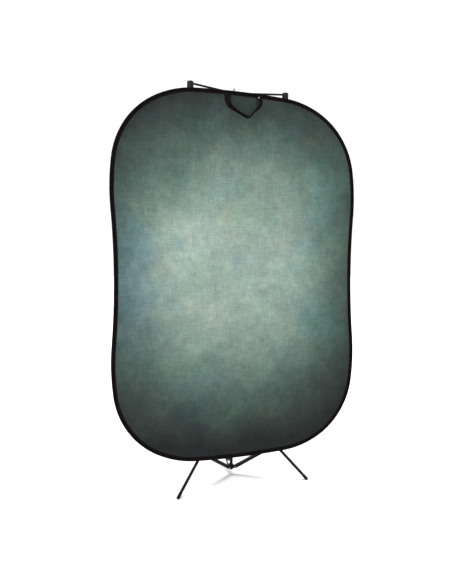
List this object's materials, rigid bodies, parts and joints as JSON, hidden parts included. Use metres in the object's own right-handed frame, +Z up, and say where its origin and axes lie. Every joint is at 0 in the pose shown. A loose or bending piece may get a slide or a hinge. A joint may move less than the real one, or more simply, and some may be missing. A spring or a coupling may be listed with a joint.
{
  "type": "collapsible backdrop panel",
  "caption": "Pop-up fabric backdrop panel with rounded corners, black bound rim and hanging strap, held by magnets on a folding crossbar and a tripod stand.",
  "frame": {"origin": "on the floor, under the middle of the bounding box; the mast stands 116.4 mm behind it towards the front", "axes": "+Z up, the painted side of the panel faces -Y, +X to the right as seen from the front"},
  "size_m": [1.5218, 0.7215, 2.365],
  "materials": {
    "painted_canvas": "hand painted canvas, matt",
    "backing_fabric": "matt woven backing",
    "binding_tape": "black woven tape",
    "webbing": "black ribbed webbing",
    "nickel": "nickel plated",
    "spring_steel": "blued spring strip",
    "chrome": "polished chrome",
    "glide_plastic": "moulded nylon",
    "foot_rubber": "moulded rubber",
    "tube_paint": "satin black powder coat",
    "channel_paint": "satin black powder coat",
    "knob_plastic": "moulded nylon",
    "zinc_steel": "zinc plated",
    "magnet_alloy": "nickel plated magnet",
    "cup_steel": "plated steel",
    "head_plastic": "moulded nylon",
    "cast_black": "black painted die casting"
  },
  "bodies": {
    "base": {"base_tube": "tube_paint", "bottom_plug": "glide_plastic", "lower_collar": "cast_black", "lower_collar_pins": "zinc_steel", "mid_clamp_collar": "cast_black"},
    "crown": {"crown_collar": "cast_black", "crown_pins": "zinc_steel"},
    "crown_lock": {"crown_knob": "knob_plastic", "crown_screw": "zinc_steel"},
    "mid_mast": {"mid_tube": "tube_paint", "mid_glide": "glide_plastic", "top_clamp_collar": "cast_black"},
    "mid_lock": {"mid_knob": "knob_plastic", "mid_screw": "zinc_steel"},
    "top_mast": {"top_tube": "tube_paint", "top_glide": "glide_plastic", "top_stud": "chrome", "hub_body": "cast_black", "arm_pins": "zinc_steel"},
    "top_lock": {"top_knob": "knob_plastic", "top_screw": "zinc_steel"},
    "hub_lock": {"hub_knob": "knob_plastic", "hub_screw": "zinc_steel"},
    "panel": {"rim_binding": "binding_tape", "spring_band": "spring_steel", "band_joiner": "spring_steel", "front_fabric": "painted_canvas", "back_fabric": "backing_fabric", "strap_tabs": "webbing", "strap_snap": "nickel"},
    "strap": {"hanging_strap": "webbing"},
    "leg_1": {"leg_1": "tube_paint", "leg_pin_1": "zinc_steel", "foot_1": "foot_rubber"},
    "brace_1": {"brace_1": "channel_paint", "brace_rivets_1": "zinc_steel"},
    "leg_2": {"leg_2": "tube_paint", "leg_pin_2": "zinc_steel", "foot_2": "foot_rubber"},
    "brace_2": {"brace_2": "channel_paint", "brace_rivets_2": "zinc_steel"},
    "leg_3": {"leg_3": "tube_paint", "leg_pin_3": "zinc_steel", "foot_3": "foot_rubber"},
    "brace_3": {"brace_3": "channel_paint", "brace_rivets_3": "zinc_steel"},
    "arm_right": {"arm_right": "tube_paint", "head_right": "head_plastic", "magnet_cup_right": "cup_steel", "magnet_right": "magnet_alloy", "magnet_screw_right": "zinc_steel"},
    "arm_left": {"arm_left": "tube_paint", "head_left": "head_plastic", "magnet_cup_left": "cup_steel", "magnet_left": "magnet_alloy", "magnet_screw_left": "zinc_steel"}
  },
  "joints": [
    {"name": "crown_slide", "type": "slide", "parent": "base", "child": "crown", "axis": [0, 0, 1], "range_m": [0, 0.2341]},
    {"name": "leg_fold_1", "type": "hinge", "parent": "crown", "child": "leg_1", "pos_m": [0.02598, -0.1314, 0.455], "axis": [0.5, 0.866, 0], "range_deg": [0, 44.3]},
    {"name": "brace_fold_1", "type": "hinge", "parent": "base", "child": "brace_1", "pos_m": [0.02598, -0.1314, 0.05], "axis": [-0.5, -0.866, 0], "range_deg": [0, 57.7]},
    {"name": "leg_fold_2", "type": "hinge", "parent": "crown", "child": "leg_2", "pos_m": [0, -0.0864, 0.455], "axis": [-1, 0, 0], "range_deg": [0, 44.3]},
    {"name": "brace_fold_2", "type": "hinge", "parent": "base", "child": "brace_2", "pos_m": [0, -0.0864, 0.05], "axis": [1, 0, 0], "range_deg": [0, 57.7]},
    {"name": "leg_fold_3", "type": "hinge", "parent": "crown", "child": "leg_3", "pos_m": [-0.02598, -0.1314, 0.455], "axis": [0.5, -0.866, 0], "range_deg": [0, 44.3]},
    {"name": "brace_fold_3", "type": "hinge", "parent": "base", "child": "brace_3", "pos_m": [-0.02598, -0.1314, 0.05], "axis": [-0.5, 0.866, 0], "range_deg": [0, 57.7]},
    {"name": "mid_extend", "type": "slide", "parent": "base", "child": "mid_mast", "axis": [0, 0, 1], "range_m": [0, 0.1]},
    {"name": "top_extend", "type": "slide", "parent": "mid_mast", "child": "top_mast", "axis": [0, 0, 1], "range_m": [0, 0.2]},
    {"name": "crown_knob_turn", "type": "hinge", "parent": "crown", "child": "crown_lock", "pos_m": [0, -0.1164, 0.455], "axis": [0.866, 0.5, 0], "continuous": true},
    {"name": "mid_knob_turn", "type": "hinge", "parent": "base", "child": "mid_lock", "pos_m": [0, -0.1164, 0.939], "axis": [0, 1, 0], "continuous": true},
    {"name": "top_knob_turn", "type": "hinge", "parent": "mid_mast", "child": "top_lock", "pos_m": [0, -0.1164, 1.686], "axis": [0, 1, 0], "continuous": true},
    {"name": "hub_knob_turn", "type": "hinge", "parent": "top_mast", "child": "hub_lock", "pos_m": [0, -0.1164, 2.308], "axis": [0, 1, 0], "continuous": true},
    {"name": "arm_fold_right", "type": "hinge", "parent": "top_mast", "child": "arm_right", "pos_m": [0.02303, -0.12316, 2.337], "axis": [-0.2818, -0.9595, 0], "range_deg": [0, 85]},
    {"name": "arm_fold_left", "type": "hinge", "parent": "top_mast", "child": "arm_left", "pos_m": [-0.02303, -0.12316, 2.337], "axis": [-0.2818, 0.9595, 0], "range_deg": [0, 85]},
    {"name": "panel_pull_off", "type": "slide", "parent": "top_mast", "child": "panel", "axis": [0, -0.9998, 0.0209], "range_m": [0, 0.35]},
    {"name": "strap_swing", "type": "hinge", "parent": "panel", "child": "strap", "pos_m": [0, -0.25287, 2.24433], "axis": [-1, 0, 0], "range_deg": [0, 85]}
  ],
  "couplings": [
    {"joint": "leg_fold_1", "follows": "crown_slide", "rad_per_m": 3.3016},
    {"joint": "brace_fold_1", "follows": "crown_slide", "rad_per_m": 4.3006},
    {"joint": "leg_fold_2", "follows": "crown_slide", "rad_per_m": 3.3016},
    {"joint": "brace_fold_2", "follows": "crown_slide", "rad_per_m": 4.3006},
    {"joint": "leg_fold_3", "follows": "crown_slide", "rad_per_m": 3.3016},
    {"joint": "brace_fold_3", "follows": "crown_slide", "rad_per_m": 4.3006}
  ]
}
